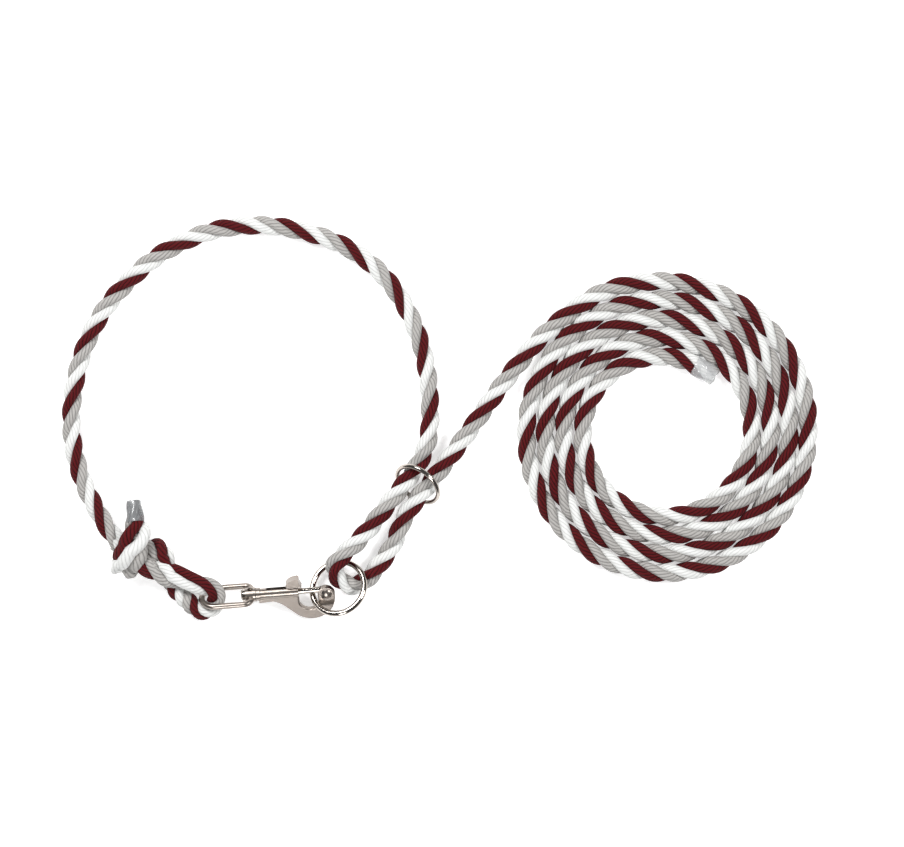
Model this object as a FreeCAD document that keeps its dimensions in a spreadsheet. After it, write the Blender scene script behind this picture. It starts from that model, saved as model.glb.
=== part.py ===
import FreeCAD, Part
import math
import os

import Sketcher
from FreeCAD import Placement, Rotation, Vector

# Adjustable neck lead of three-strand rope, with a swivel bolt snap, a tie ring and a keeper ring.
# It lies flat on a surface: +X runs from the neck loop to the coil, +Z is up, millimetres.
# The origin is under the middle of the metal fittings, on the surface that the lead lies on.

doc = FreeCAD.newDocument("neck_lead")

# ---------------------------------------------------------------- driving dimensions

DIMENSIONS = [
    ("rope_diameter", 12.7, "over the three strands"),
    ("sleeve_wall", 0.5, "clear shrink sleeve"),
    ("sleeve_gap", 0.05, "between sleeve and rope"),
    ("tail_sleeve_length", 14.2, "on the short tail above the knot"),
    ("end_sleeve_length", 15.0, "on the handling end"),
    ("knot_height", 28.5, "stopper knot, two ropes deep over the standing part"),
    ("knot_chamfer", 5.0, "round of the knot's top"),
    ("coil_radius", 101.3, "rope centre where the lead joins the coil"),
    ("coil_pitch", 12.47, "from turn to turn"),
    ("tie_ring_inside", 32.0, "1-1/4 in welded ring"),
    ("tie_ring_wire", 4.0, "wire of the tie ring"),
    ("keeper_inside", 28.0, "ring that holds both ropes side by side"),
    ("keeper_wire", 3.0, "wire of the keeper ring"),
    ("keeper_lean", 36.0, "degrees that the keeper leans from upright"),
    ("eye_wire", 4.0, "wire of the swivel eye"),
    ("eye_inside", 15.0, "clear width of the swivel eye"),
    ("eye_reach", 32.7, "from the eye's base bar to its far end, wire centres"),
    ("eye_corner", 4.2, "bend of the wire at the base bar"),
    ("boss_diameter", 9.5, "boss of the swivel eye"),
    ("boss_length", 6.8, "along the swivel axis"),
    ("boss_window", 3.6, "cast window in the boss"),
    ("stem_diameter", 4.0, "swivel rivet"),
    ("stem_gap", 0.1, "rivet to boss bore, radial"),
    ("stem_seat", 3.0, "rivet pressed into the snap body"),
    ("rivet_head_diameter", 8.4, "inside the eye"),
    ("rivet_head_length", 2.6, "along the axis"),
    ("swivel_gap", 0.25, "end play on each side of the boss"),
    ("housing_diameter", 7.4, "barrel that holds the bolt"),
    ("housing_length", 27.9, "along the axis"),
    ("collar_diameter", 8.8, "shoulder at the swivel end"),
    ("collar_length", 2.6, "along the axis"),
    ("seat_wall", 0.7, "between the rivet seat and the bolt bore"),
    ("bolt_diameter", 4.0, "sliding bolt"),
    ("bolt_gap", 0.1, "bolt to bore, radial"),
    ("bolt_travel", 14.0, "opens the whole throat"),
    ("bolt_lap", 1.9, "bolt nose past the throat, in the tip's seat"),
    ("nose_chamfer", 0.6, "bolt nose"),
    ("spring_wire", 0.45, "wire of the return spring"),
    ("spring_turns", 6.0, "turns"),
    ("spring_outside", 3.7, "outside diameter"),
    ("spring_gap", 0.1, "at each end of the spring"),
    ("lug_stem_width", 2.6, "across the slot"),
    ("lug_stem_length", 4.4, "along the slot"),
    ("lug_inset", 0.6, "from the bolt's rear end to the stem"),
    ("lug_pin_depth", 2.4, "stem into the bolt"),
    ("lug_height", 10.2, "top of the thumb pad above the axis"),
    ("lug_width", 6.4, "thumb pad across"),
    ("slot_gap", 0.25, "stem to slot, all round"),
    ("throat_width", 12.6, "clear opening of the hook"),
    ("throat_drop", 7.2, "from the axis to the throat's round bottom centre"),
    ("plate_thickness", 4.6, "flat cast hook"),
    ("arm_depth", 7.1, "hook under the throat"),
    ("tip_length", 11.2, "hook beyond the throat"),
    ("tip_drop", 4.7, "from the axis to the middle of the hook's outer curve"),
    ("tip_rise", 2.4, "tip above the axis"),
    ("neck_depth", 5.7, "web under the barrel at the swivel end"),
    ("edge_round", 0.8, "cast edges of the hook"),
    ("knob_thickness", 7.6, "round tip across the hook's plane"),
    ("ring_setback", 3.32, "tie ring's wire before the throat's tip wall"),
    ("ring_rise", 1.33, "tie ring's wire above the throat's round bottom centre"),
    ("ring_side", 0.07, "tie ring's wire off the hook's middle plane"),
]

sheet = doc.addObject("Spreadsheet::Sheet", "Dims")
for row, (alias, value, note) in enumerate(DIMENSIONS, start=1):
    sheet.set(f"A{row}", alias)
    sheet.set(f"B{row}", str(value))
    sheet.setAlias(f"B{row}", alias)
    sheet.set(f"C{row}", note)
doc.recompute()


def dim(alias):
    """Value of one driving dimension."""
    return float(sheet.get(alias))


def bound(alias_words):
    """Expression in which every word that is an alias is read from the sheet."""
    words = []
    for word in alias_words.split():
        words.append(f"Dims.{word}" if word in ALIASES else word)
    return " ".join(words)


ALIASES = {alias for alias, value, note in DIMENSIONS}

# Stations along the swivel axis of the snap, from a zero in the middle of the eye's base.
BOSS_START = "0 - 2.6"
BOSS_END = f"( {BOSS_START} + boss_length )"
BODY_START = f"( {BOSS_END} + swivel_gap )"
BORE_START = f"( {BODY_START} + stem_seat + seat_wall )"
SPRING_SOLID = "( spring_turns * spring_wire + 2 * spring_gap )"
BOLT_START = f"( {BORE_START} + {SPRING_SOLID} + bolt_travel )"
HOUSING_END = f"( {BODY_START} + housing_length )"
THROAT_END = f"( {HOUSING_END} + throat_width )"
BOLT_END = f"( {THROAT_END} + bolt_lap )"
TIP_END = f"( {THROAT_END} + tip_length )"
HOOK_BOTTOM = "( throat_drop + throat_width / 2 + arm_depth )"
HOOK_RADIUS = f"( {HOOK_BOTTOM} - tip_drop )"
EYE_WIDTH = "( eye_inside + eye_wire )"
EYE_BASE = f"( {BOSS_START} + boss_length / 2 + 0.2 )"

# ---------------------------------------------------------------- where the fittings lie

SNAP_PLACE = Vector(-46.9, -35.0, 11.0)
SNAP_HEADING = 4.5
SNAP_PITCH = -3.2
SNAP_ROLL = 29.0
EYE_ROLL = -52.0
TIE_RING_TILT = 27.3
TIE_RING_UPHILL = -51.2
TIE_RING_HELD_AT = -159.94
ROPE_HEADING = 51.5
KEEPER_PLACE_XY = (63.9, 37.9)

Z_AXIS = Vector(0, 0, 1)
X_AXIS = Vector(1, 0, 0)
Y_AXIS = Vector(0, 1, 0)


def snap_placement(roll):
    """Placement of a piece that lies along the swivel axis, rolled about it."""
    axis = Rotation(Z_AXIS, SNAP_HEADING) * Rotation(Y_AXIS, SNAP_PITCH)
    return Placement(SNAP_PLACE, axis * Rotation(X_AXIS, roll))


# ---------------------------------------------------------------- modelling helpers


def new_body(label):
    """An empty PartDesign body with its own label."""
    body = doc.addObject("PartDesign::Body", label)
    body.Label = label
    return body


def sketch_on(body, role, name, offset=None):
    """Sketch on one of the body's own origin planes, moved along the plane's normal by offset."""
    sketch = body.newObject("Sketcher::SketchObject", name)
    plane = next(f for f in body.Origin.OriginFeatures if f.Role == role)
    sketch.AttachmentSupport = (plane, [""])
    sketch.MapMode = "FlatFace"
    if offset is not None:
        sketch.setExpression("AttachmentOffset.Base.z", bound(offset))
    doc.recompute()
    return sketch


def pin_coordinate(sketch, kind, edge, end, expression):
    """Holds one coordinate of an edge's end at an expression, measured from the sketch's origin."""
    value = sketch.evalExpression(bound(expression))
    if abs(value) < 1e-7:
        axis = -2 if kind == "DistanceX" else -1
        sketch.addConstraint(Sketcher.Constraint("PointOnObject", edge, end, axis))
        return
    index = sketch.addConstraint(Sketcher.Constraint(kind, -1, 1, edge, end, value))
    sketch.setExpression(f"Constraints[{index}]", bound(expression))


def add_circle(sketch, x, y, diameter):
    """Circle held by its centre and diameter."""
    centre = Vector(sketch.evalExpression(bound(x)), sketch.evalExpression(bound(y)), 0)
    radius = sketch.evalExpression(bound(f"{diameter} / 2"))
    edge = sketch.addGeometry(Part.Circle(centre, Z_AXIS, radius))
    index = sketch.addConstraint(Sketcher.Constraint("Radius", edge, radius))
    sketch.setExpression(f"Constraints[{index}]", bound(f"{diameter} / 2"))
    pin_coordinate(sketch, "DistanceX", edge, 3, x)
    pin_coordinate(sketch, "DistanceY", edge, 3, y)


def arc_between(start, end, radius, left):
    """Arc shorter than a half turn from start to end, with its centre on the left or right."""
    chord = end - start
    half = chord.Length / 2
    side = Vector(-chord.y, chord.x, 0).normalize() * (1 if left else -1)
    centre = (start + end) / 2 + side * math.sqrt(max(radius**2 - half**2, 0.0))
    middle = centre - side * radius
    return Part.Arc(start, middle, end)


def add_outline(sketch, corners, arcs):
    """Closed outline through corners. arcs maps an edge's number to (radius, centre on the left)."""
    points = [
        Vector(sketch.evalExpression(bound(x)), sketch.evalExpression(bound(y)), 0)
        for x, y in corners
    ]
    count = len(points)
    edges = []
    for number in range(count):
        start, end = points[number], points[(number + 1) % count]
        if number in arcs:
            radius, left = arcs[number]
            size = sketch.evalExpression(bound(radius))
            edges.append(sketch.addGeometry(arc_between(start, end, size, left)))
        else:
            edges.append(sketch.addGeometry(Part.LineSegment(start, end)))
    first_end, last_end = {}, {}
    for number, edge in enumerate(edges):
        # An arc is stored counter-clockwise, so one that runs clockwise starts at its second end.
        clockwise = number in arcs and not arcs[number][1]
        first_end[number], last_end[number] = (2, 1) if clockwise else (1, 2)
        if number in arcs:
            index = sketch.addConstraint(
                Sketcher.Constraint("Radius", edge, sketch.evalExpression(bound(arcs[number][0])))
            )
            sketch.setExpression(f"Constraints[{index}]", bound(arcs[number][0]))
    for number, edge in enumerate(edges):
        following = (number + 1) % count
        sketch.addConstraint(
            Sketcher.Constraint(
                "Coincident", edge, last_end[number], edges[following], first_end[following]
            )
        )
        x, y = corners[number]
        pin_coordinate(sketch, "DistanceX", edge, first_end[number], x)
        pin_coordinate(sketch, "DistanceY", edge, first_end[number], y)


def add_rectangle(sketch, left, right, bottom, top):
    """Rectangle held by its four sides."""
    corners = [(left, bottom), (right, bottom), (right, top), (left, top)]
    add_outline(sketch, corners, {})


def pad(body, sketch, name, length, symmetric=False):
    """Pad of a sketch to a length from the sheet."""
    feature = body.newObject("PartDesign::Pad", name)
    feature.Profile = sketch
    feature.setExpression("Length", bound(length))
    feature.SideType = "Symmetric" if symmetric else "One side"
    doc.recompute()
    return feature


def pocket(body, sketch, name, length, reverse=False, symmetric=False):
    """Pocket of a sketch, checked to take material away."""
    before = body.Shape.Volume
    feature = body.newObject("PartDesign::Pocket", name)
    feature.Profile = sketch
    feature.Reversed = reverse
    feature.setExpression("Length", bound(length))
    feature.SideType = "Symmetric" if symmetric else "One side"
    doc.recompute()
    if not body.Shape.Volume < before - 0.01:
        raise RuntimeError(f"{name} cuts nothing")
    return feature


def revolve(body, sketch, name):
    """Full turn of a half section about the body's X axis."""
    feature = body.newObject("PartDesign::Revolution", name)
    feature.Profile = sketch
    axis = next(f for f in body.Origin.OriginFeatures if f.Role == "X_Axis")
    feature.ReferenceAxis = (axis, [""])
    feature.Angle = 360
    doc.recompute()
    return feature


# ---------------------------------------------------------------- swivel eye and rivet


def make_swivel_eye():
    """Long wire eye with a cast boss at its base, bored for the swivel rivet."""
    body = new_body("swivel_eye")
    path = sketch_on(body, "XY_Plane", "eye_path")
    half = f"( {EYE_WIDTH} / 2 )"
    far = f"( {EYE_BASE} - eye_reach + {half} )"
    near = f"( {EYE_BASE} - eye_corner )"
    corners = [
        (far, f"0 - {half}"),
        (near, f"0 - {half}"),
        (EYE_BASE, f"0 - {half} + eye_corner"),
        (EYE_BASE, f"{half} - eye_corner"),
        (near, half),
        (far, half),
        (f"{far} - {half}", "0"),
    ]
    arcs = {
        1: ("eye_corner", True),
        3: ("eye_corner", True),
        5: (half, True),
        6: (half, True),
    }
    add_outline(path, corners, arcs)
    section = sketch_on(body, "YZ_Plane", "eye_section", far)
    add_circle(section, f"0 - {half}", "0", "eye_wire")
    loop = body.newObject("PartDesign::AdditivePipe", "eye_loop")
    loop.Profile = section
    loop.Spine = path
    doc.recompute()
    boss = sketch_on(body, "YZ_Plane", "boss_outline", BOSS_START)
    add_circle(boss, "0", "0", "boss_diameter")
    pad(body, boss, "boss", "boss_length")
    bore = sketch_on(body, "YZ_Plane", "boss_bore_outline", BOSS_START)
    add_circle(bore, "0", "0", "( stem_diameter + 2 * stem_gap )")
    pocket(body, bore, "boss_bore", "boss_length", reverse=True)
    window = sketch_on(body, "XY_Plane", "window_outline")
    add_circle(window, f"( {BOSS_START} + boss_length / 2 )", "0", "boss_window")
    pocket(body, window, "boss_window", "boss_diameter", symmetric=True)
    body.Placement = snap_placement(EYE_ROLL)
    return body


def make_swivel_rivet():
    """Headed rivet: the head turns inside the eye, the stem is pressed into the snap body."""
    body = new_body("swivel_rivet")
    half = sketch_on(body, "XY_Plane", "rivet_half")
    head_end = f"( {BOSS_START} - swivel_gap )"
    head_start = f"( {head_end} - rivet_head_length )"
    corners = [
        (head_start, "0"),
        (f"{BODY_START} + stem_seat", "0"),
        (f"{BODY_START} + stem_seat", "stem_diameter / 2"),
        (head_end, "stem_diameter / 2"),
        (head_end, "rivet_head_diameter / 2"),
        (f"{head_start} + 1", "rivet_head_diameter / 2"),
        (head_start, "rivet_head_diameter / 2 - 1.2"),
    ]
    add_outline(half, corners, {})
    revolve(body, half, "rivet")
    body.Placement = snap_placement(SNAP_ROLL)
    return body


# ---------------------------------------------------------------- snap body, bolt, thumb lug, spring


def make_snap_body():
    """Cast body: a barrel for the bolt, and a flat hook that sweeps under the throat to a knob."""
    body = new_body("snap_body")
    plate = sketch_on(body, "XY_Plane", "hook_outline")
    middle_x = f"( {TIP_END} - {HOOK_RADIUS} )"
    corners = [
        (f"{BODY_START} + 1.5", "0"),
        (f"{BODY_START} + 1.5", "0 - neck_depth"),
        (f"{BODY_START} + 9.5", "0 - neck_depth + 0.4"),
        (f"{HOUSING_END} - 10.4", f"0 - {HOOK_BOTTOM} * 0.45"),
        (
            f"{middle_x} - {HOOK_RADIUS} * cos(50)",
            f"0 - tip_drop - {HOOK_RADIUS} * sin(50)",
        ),
        (middle_x, f"0 - {HOOK_BOTTOM}"),
        (TIP_END, "0 - tip_drop"),
        (f"{TIP_END} - 5.9", "tip_rise"),
        (f"{THROAT_END} + 1.4", "tip_rise - 1.4"),
        (THROAT_END, "0 - 1.5"),
        (THROAT_END, "0 - throat_drop"),
        (f"{HOUSING_END} + throat_width / 2", "0 - throat_drop - throat_width / 2"),
        (HOUSING_END, "0 - throat_drop"),
        (HOUSING_END, "0"),
    ]
    arcs = {
        2: ("16", False),
        4: (HOOK_RADIUS, True),
        5: (HOOK_RADIUS, True),
        6: ("6.4", True),
        10: ("throat_width / 2", False),
        11: ("throat_width / 2", False),
    }
    add_outline(plate, corners, arcs)
    web = pad(body, plate, "hook_plate", "plate_thickness", symmetric=True)
    throat_x = sheet.evalExpression(bound(f"{HOUSING_END} + throat_width / 2"))
    throat_centre = Vector(throat_x, -dim("throat_drop"), 0)
    throat_reach = dim("throat_width") / 2 + 0.2

    def in_throat(point):
        return (point - throat_centre).Length < throat_reach

    def on_outside(point):
        below_barrel = point.y < -dim("neck_depth") + 0.2 and point.x > dim("throat_width")
        past_tip = point.x > throat_x + throat_reach + dim("tip_length") / 2
        return (below_barrel or past_tip) and not in_throat(point)

    round_edges(body, web, "outside_round", on_outside)
    round_edges(body, body.Tip, "throat_round", in_throat)
    knob = body.newObject("PartDesign::AdditiveEllipsoid", "tip_knob")
    knob.setExpression("Radius1", bound("knob_thickness / 2"))
    knob.setExpression("Radius2", bound("tip_length / 2 - 0.9"))
    knob.setExpression("Radius3", bound("tip_rise / 2 + tip_drop - 0.6"))
    knob.setExpression("Placement.Base.x", bound(f"{TIP_END} - tip_length / 2 + 0.3"))
    knob.setExpression("Placement.Base.y", bound("0 - tip_drop + tip_rise / 2"))
    doc.recompute()
    barrel = sketch_on(body, "YZ_Plane", "barrel_outline", BODY_START)
    add_circle(barrel, "0", "0", "housing_diameter")
    pad(body, barrel, "barrel", "housing_length")
    collar = sketch_on(body, "YZ_Plane", "collar_outline", BODY_START)
    add_circle(collar, "0", "0", "collar_diameter")
    pad(body, collar, "collar", "collar_length")
    rivet_seat = sketch_on(body, "YZ_Plane", "rivet_seat_outline", BODY_START)
    add_circle(rivet_seat, "0", "0", "stem_diameter")
    pocket(body, rivet_seat, "rivet_seat", "stem_seat", reverse=True)
    bore = sketch_on(body, "YZ_Plane", "bolt_bore_outline", BORE_START)
    add_circle(bore, "0", "0", "( bolt_diameter + 2 * bolt_gap )")
    pocket(body, bore, "bolt_bore", f"{HOUSING_END} - {BORE_START}", reverse=True)
    nose_seat = sketch_on(body, "YZ_Plane", "nose_seat_outline", f"{THROAT_END} - 1.5")
    add_circle(nose_seat, "0", "0", "( bolt_diameter + 6 * bolt_gap )")
    pocket(body, nose_seat, "nose_seat", "bolt_lap + 1.5 + 4 * bolt_gap", reverse=True)
    slot = sketch_on(body, "XZ_Plane", "lug_slot_outline")
    lug_start = f"( {BOLT_START} + lug_inset )"
    width = "( lug_stem_width / 2 + slot_gap )"
    add_rectangle(
        slot,
        f"{lug_start} - bolt_travel - slot_gap",
        f"{lug_start} + lug_stem_length + slot_gap",
        f"0 - {width}",
        width,
    )
    pocket(body, slot, "lug_slot", "housing_diameter", reverse=False)
    body.Placement = snap_placement(SNAP_ROLL)
    return body


def round_edges(body, base, name, chosen):
    """Rounds those edges of a plate's two flat faces whose middle is chosen in plan."""
    half = dim("plate_thickness") / 2
    names = []
    for number, edge in enumerate(base.Shape.Edges, start=1):
        on_face = all(abs(abs(vertex.Z) - half) < 1e-6 for vertex in edge.Vertexes)
        middle = edge.valueAt((edge.FirstParameter + edge.LastParameter) / 2)
        if on_face and chosen(Vector(middle.x, middle.y, 0)):
            names.append(f"Edge{number}")
    rounding = body.newObject("PartDesign::Fillet", name)
    rounding.Base = (base, names)
    rounding.setExpression("Radius", bound("edge_round"))
    doc.recompute()


def make_snap_bolt():
    """Round bolt with a chamfered nose and a cross hole for the thumb lug."""
    body = new_body("snap_bolt")
    half = sketch_on(body, "XY_Plane", "bolt_half")
    corners = [
        (BOLT_START, "0"),
        (BOLT_END, "0"),
        (BOLT_END, "bolt_diameter / 2 - nose_chamfer"),
        (f"{BOLT_END} - nose_chamfer", "bolt_diameter / 2"),
        (BOLT_START, "bolt_diameter / 2"),
    ]
    add_outline(half, corners, {})
    revolve(body, half, "bolt")
    hole = sketch_on(body, "XZ_Plane", "lug_hole_outline")
    lug_start = f"( {BOLT_START} + lug_inset )"
    width = "( lug_stem_width / 2 )"
    add_rectangle(hole, lug_start, f"{lug_start} + lug_stem_length", f"0 - {width}", width)
    hole.setExpression("AttachmentOffset.Base.z", bound("lug_pin_depth - bolt_diameter / 2"))
    doc.recompute()
    pocket(body, hole, "lug_hole", "bolt_diameter", reverse=False)
    body.Placement = snap_placement(SNAP_ROLL)
    return body


def make_thumb_lug():
    """Thumb piece that is set into the bolt through the slot, with a curved pad on top."""
    body = new_body("thumb_lug")
    lug_start = f"( {BOLT_START} + lug_inset )"
    foot = "( bolt_diameter / 2 - lug_pin_depth )"
    stem = sketch_on(body, "XY_Plane", "stem_outline")
    add_rectangle(
        stem,
        lug_start,
        f"{lug_start} + lug_stem_length",
        foot,
        "housing_diameter / 2 + 1.6",
    )
    pad(body, stem, "stem", "lug_stem_width", symmetric=True)
    thumb = sketch_on(body, "XY_Plane", "pad_outline")
    under = "( housing_diameter / 2 + 0.5 )"
    corners = [
        (f"{lug_start} - 0.3", under),
        (f"{lug_start} + lug_stem_length + 4.9", under),
        (f"{lug_start} + lug_stem_length + 3.4", "lug_height - 0.9"),
        (f"{lug_start} + lug_stem_length + 1.6", "lug_height"),
        (f"{lug_start} - 1.0", "lug_height - 3.4"),
        (f"{lug_start} - 0.8", "lug_height - 4.4"),
    ]
    arcs = {
        1: ("9", False),
        2: ("1.3", True),
        3: ("9", True),
    }
    add_outline(thumb, corners, arcs)
    pad(body, thumb, "thumb_pad", "lug_width", symmetric=True)
    body.Placement = snap_placement(SNAP_ROLL)
    return body


def make_bolt_spring():
    """Return spring, shown at its rest length behind the bolt."""
    coil = doc.addObject("Part::Helix", "spring_path")
    coil.setExpression("Radius", bound("( spring_outside - spring_wire ) / 2"))
    free = f"( {BOLT_START} - {BORE_START} - 2 * spring_gap - spring_wire )"
    coil.setExpression("Height", bound(free))
    coil.setExpression("Pitch", bound(f"{free} / spring_turns"))
    section = doc.addObject("Part::Circle", "spring_section")
    section.setExpression("Radius", bound("spring_wire / 2"))
    section.setExpression("Placement.Base.x", bound("( spring_outside - spring_wire ) / 2"))
    section.Placement.Rotation = Rotation(X_AXIS, 90)
    spring = doc.addObject("Part::Sweep", "bolt_spring")
    spring.Label = "bolt_spring"
    spring.Sections = [section]
    spring.Spine = (coil, [])
    spring.Solid = True
    spring.Frenet = True
    doc.recompute()
    start = sheet.evalExpression(bound(f"{BORE_START} + spring_gap + spring_wire / 2"))
    along = Placement(Vector(start, 0, 0), Rotation(Y_AXIS, 90))
    spring.Placement = snap_placement(SNAP_ROLL) * along
    return spring


# ---------------------------------------------------------------- rings


def make_ring(label, inside, wire):
    """Round welded ring in its own XY plane."""
    ring = doc.addObject("Part::Torus", label)
    ring.Label = label
    ring.setExpression("Radius1", bound(f"( {inside} + {wire} ) / 2"))
    ring.setExpression("Radius2", bound(f"{wire} / 2"))
    return ring


def make_tie_ring():
    """Ring that the rope's bight passes through, placed by the spot where the hook holds its wire."""
    ring = make_ring("tie_ring", "tie_ring_inside", "tie_ring_wire")
    uphill = Rotation(Z_AXIS, TIE_RING_UPHILL).multVec(X_AXIS)
    hinge = Vector(uphill.y, -uphill.x, 0)
    tilt = Rotation(hinge, TIE_RING_TILT)
    held_x = sheet.evalExpression(bound(f"{THROAT_END} - ring_setback"))
    held = Vector(held_x, dim("ring_rise") - dim("throat_drop"), dim("ring_side"))
    towards_hook = tilt.multVec(Rotation(Z_AXIS, TIE_RING_HELD_AT).multVec(X_AXIS))
    radius = (dim("tie_ring_inside") + dim("tie_ring_wire")) / 2
    centre = snap_placement(SNAP_ROLL).multVec(held) - towards_hook * radius
    ring.Placement = Placement(centre, tilt)
    return ring


def make_keeper_ring():
    """Ring round both ropes, standing on its edge and leaning along them."""
    ring = make_ring("keeper_ring", "keeper_inside", "keeper_wire")
    lean = math.radians(dim("keeper_lean"))
    wire = dim("keeper_wire")
    height = (dim("keeper_inside") + wire) / 2 * math.cos(lean) + wire / 2
    upright = Rotation(Z_AXIS, ROPE_HEADING) * Rotation(Y_AXIS, 90 + dim("keeper_lean"))
    ring.Placement = Placement(Vector(*KEEPER_PLACE_XY, height), upright)
    return ring


# ---------------------------------------------------------------- rope

# Rope centre, in order along the rope, laid on the surface or over what it crosses.
TAIL_AND_KNOT = [
    (-122.9, 26.5, 16.0),
    (-121.3, 10.8, 18.5),
    (-120.5, 2.5, 22.5),
    (-123.5, -6.0, 22.0),
    (-128.5, -13.0, 17.5),
    (-129.0, -15.5, 8.0),
    (-124.0, -11.5, 6.4),
    (-118.0, -6.5, 6.4),
    (-111.5, -3.5, 8.5),
    (-104.6, -7.5, 13.5),
    (-102.0, -14.5, 13.0),
    (-100.5, -21.5, 8.0),
]
SNAP_EYE = [
    (-113.0, -28.5, 6.4),
    (-94.0, -39.6, 6.4),
    (-77.6, -47.6, 6.4),
    (-67.3, -42.2, 8.2),
    (-66.9, -32.9, 12.0),
    (-76.0, -27.6, 14.4),
    (-91.5, -27.0, 14.6),
    (-106.5, -19.0, 14.6),
]
STANDING_PART = [
    (-120.0, -9.5, 14.6),
]
NECK_LOOP = [
    (-134.5, 0.5, 11.5),
    (-146.0, 17.0, 9.0),
    (-157.5, 39.5, 6.4),
    (-165.0, 66.0, 6.4),
    (-164.5, 100.0, 6.4),
    (-152.5, 140.5, 6.4),
    (-127.5, 173.5, 6.4),
    (-95.5, 197.5, 6.4),
    (-56.0, 210.0, 6.4),
    (-14.5, 207.0, 6.4),
    (25.0, 192.0, 6.4),
    (52.5, 164.0, 6.4),
    (68.5, 126.5, 6.4),
    (72.5, 90.0, 6.6),
    (71.5, 68.0, 9.5),
]
RING_BIGHT = [
    (65.5, 51.4, 13.4),
    (43.4, 23.5, 13.4),
    (28.5, 4.0, 14.8),
    (16.0, -7.5, 17.4),
    (7.6, -15.8, 17.2),
    (11.6, -25.2, 11.0),
    (20.6, -30.6, 6.8),
    (30.5, -25.5, 6.4),
    (40.5, -13.0, 6.4),
    (49.0, -0.5, 8.5),
    (54.5, 16.7, 13.4),
    (75.5, 43.2, 13.4),
]
LEAD = [
    (95.6, 69.6, 10.0),
    (114.0, 96.2, 6.4),
    (131.0, 118.3, 6.4),
    (144.3, 134.6, 6.4),
]
ROPE_POINTS = TAIL_AND_KNOT + SNAP_EYE + STANDING_PART + NECK_LOOP + RING_BIGHT + LEAD

COIL_ENTRY_PLACE = Vector(153.87, 144.13, 0)
COIL_START = 135.0
COIL_TURNS = 4.19
COIL_CENTRE = COIL_ENTRY_PLACE - Rotation(Z_AXIS, COIL_START).multVec(X_AXIS) * dim("coil_radius")
END_HEADING = -31.0
END_SETBACK = 2.0
END_POCKET_GAP = 0.3
ARC_SHARE = 0.45


def coil_radius(turns):
    """Radius of the rope's centre after that many turns of the coil."""
    return dim("coil_radius") - dim("coil_pitch") * turns


def coil_point(turns, offset=0.0, height=0.0):
    """Point of the coil, beside the rope's centre by offset."""
    angle = math.radians(COIL_START - 360 * turns)
    radius = coil_radius(turns) + offset
    return COIL_CENTRE + Vector(radius * math.cos(angle), radius * math.sin(angle), height)


SLEEVE_RADIUS = dim("rope_diameter") / 2 + dim("sleeve_gap") + dim("sleeve_wall")
END_DIRECTION = Rotation(Z_AXIS, END_HEADING).multVec(X_AXIS)
END_START = coil_point(COIL_TURNS, 0.0, SLEEVE_RADIUS) - END_DIRECTION * END_SETBACK
END_FINISH = END_START + END_DIRECTION * (dim("end_sleeve_length") + END_SETBACK)


def corner_arc(before, corner, after):
    """Tangent arc at a corner: its start, middle, end and radius."""
    back = before - corner
    ahead = after - corner
    reach = ARC_SHARE * min(back.Length, ahead.Length)
    back.normalize()
    ahead.normalize()
    turn = math.pi - back.getAngle(ahead)
    radius = reach / math.tan(turn / 2)
    inward = (back + ahead).normalize()
    depth = radius / math.cos(turn / 2) - radius
    return corner + back * reach, corner + inward * depth, corner + ahead * reach, radius


def rope_path(points):
    """Edges of straight runs joined by tangent arcs, and the radii of the arcs."""
    edges, radii = [], []
    here = points[0]
    for before, corner, after in zip(points, points[1:], points[2:]):
        start, middle, end, radius = corner_arc(before, corner, after)
        edges.append(Part.LineSegment(here, start).toShape())
        edges.append(Part.Arc(start, middle, end).toShape())
        radii.append(radius)
        here = end
    edges.append(Part.LineSegment(here, points[-1]).toShape())
    return edges, radii


def rope_tube(label, points, start=None, end=None):
    """Plain tube along points. start and end move its ends to places on its end runs."""
    route = [Vector(*point) for point in points]
    edges, radii = rope_path(route)
    if start is not None:
        edges[0] = Part.LineSegment(Vector(*start), edges[0].Vertexes[-1].Point).toShape()
    if end is not None:
        edges[-1] = Part.LineSegment(edges[-1].Vertexes[0].Point, Vector(*end)).toShape()
    path = Part.Wire(edges)
    first = edges[0].Vertexes
    heading = first[-1].Point - first[0].Point
    section = Part.Wire([Part.Circle(first[0].Point, heading, dim("rope_diameter") / 2).toShape()])
    solid = path.makePipeShell([section], True, False)
    expected = math.pi * dim("rope_diameter") ** 2 / 4 * path.Length
    if abs(solid.Volume / expected - 1) > 0.01:
        raise RuntimeError(f"{label}: volume {solid.Volume:.0f} is not {expected:.0f}")
    tube = doc.addObject("Part::Feature", label)
    tube.Label = label
    tube.Shape = solid
    rounded = ", ".join(f"{radius:.0f}" for radius in radii)
    print(f"{label}: length {path.Length:.0f}, radii {rounded}")
    return tube, path.Length


def along(first, second, share):
    """Point that lies at a share of the way from first to second."""
    return tuple(Vector(*first) + (Vector(*second) - Vector(*first)) * share)


def sleeve(label, start, end):
    """Thin shrink sleeve round the rope between two points."""
    axis = Vector(*end) - Vector(*start)
    outside = doc.addObject("Part::Cylinder", f"{label}_outside")
    outside.setExpression("Radius", bound("rope_diameter / 2 + sleeve_gap + sleeve_wall"))
    outside.Height = axis.Length
    inside = doc.addObject("Part::Cylinder", f"{label}_inside")
    inside.setExpression("Radius", bound("rope_diameter / 2 + sleeve_gap"))
    inside.Height = axis.Length
    tube = doc.addObject("Part::Cut", label)
    tube.Label = label
    tube.Base = outside
    tube.Tool = inside
    tube.Placement = Placement(Vector(*start), Rotation(Z_AXIS, axis))
    return tube


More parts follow.
